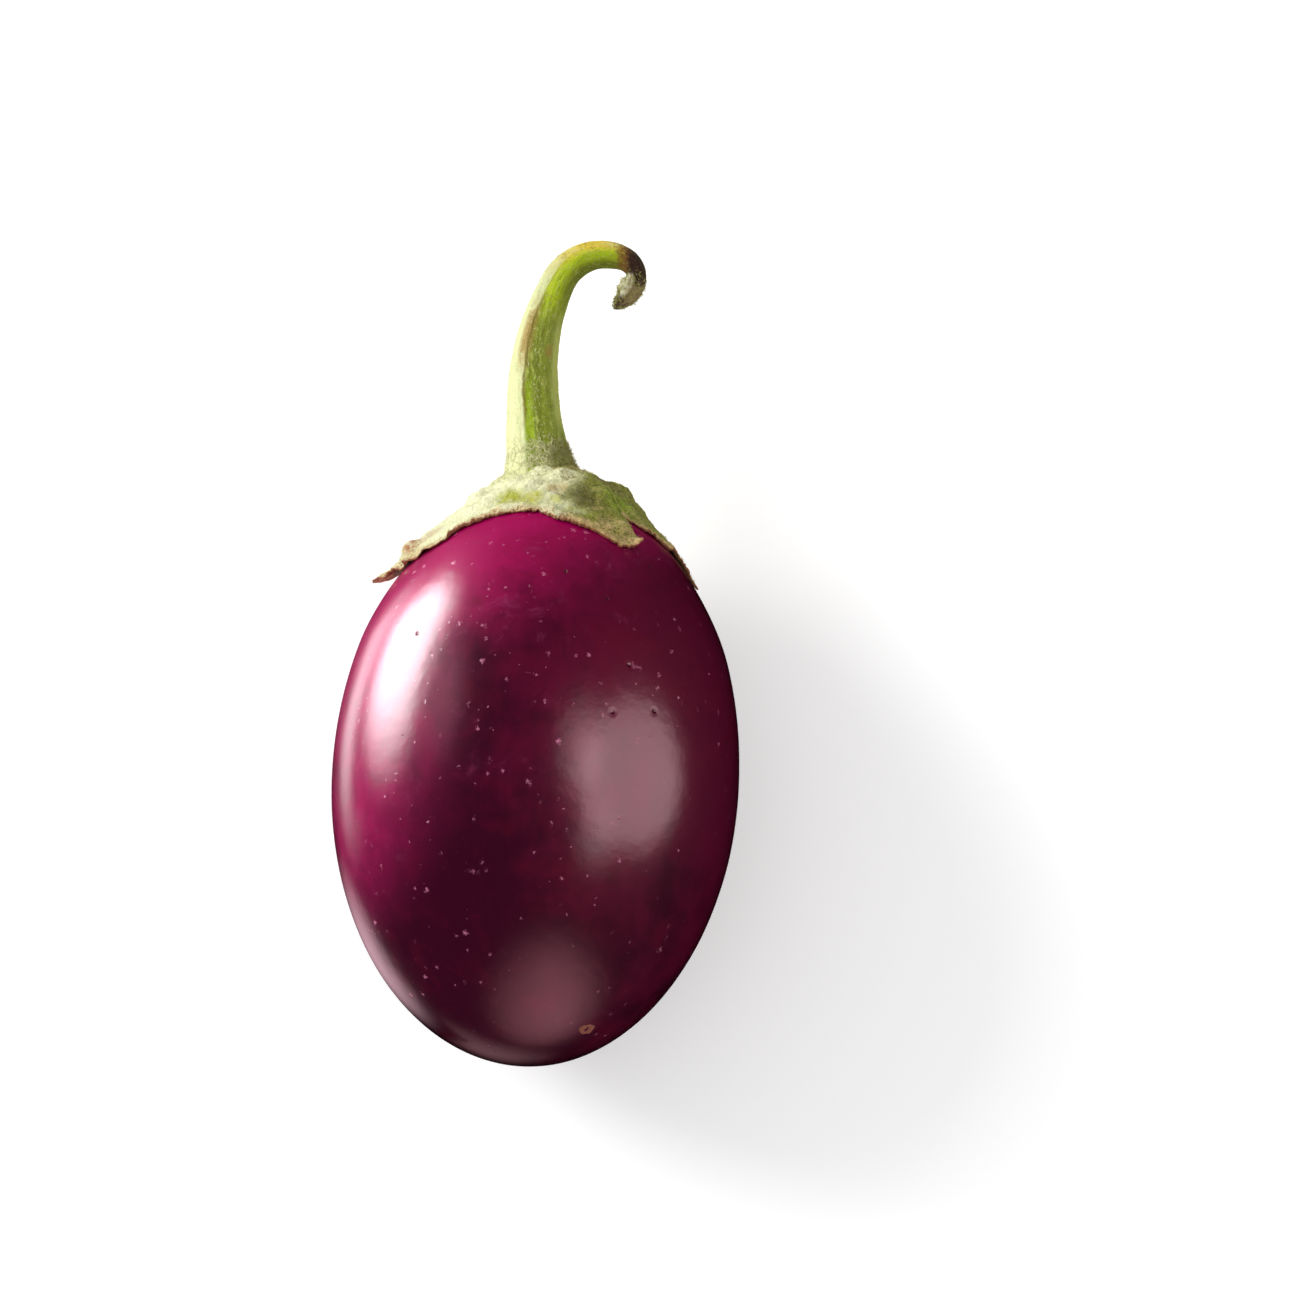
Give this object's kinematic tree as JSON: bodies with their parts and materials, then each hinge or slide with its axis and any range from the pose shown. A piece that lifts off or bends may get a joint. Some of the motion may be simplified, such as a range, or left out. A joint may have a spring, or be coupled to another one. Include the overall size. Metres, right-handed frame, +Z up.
{
  "type": "eggplant",
  "caption": "Small egg-shaped purple eggplant lying on its side, with a lobed fuzzy green calyx and a ribbed stem that curls over in a hook.",
  "frame": {"origin": "centre of the flat spot on the belly that the fruit lies on", "axes": "+Z up from the surface it lies on, +Y along the fruit's own axis from blossom end to stem, +X to the side that the stem hooks towards"},
  "size_m": [0.056, 0.1165, 0.0552],
  "materials": {
    "skin": "smooth waxy skin, deep purple to magenta",
    "calyx": "matt and felted, pale green with dry tan edges",
    "stem": "satin green ribs, brown and dry at the hooked end"
  },
  "bodies": {
    "root": {"fruit": "skin", "calyx": "calyx", "stem": "stem"}
  },
  "joints": []
}
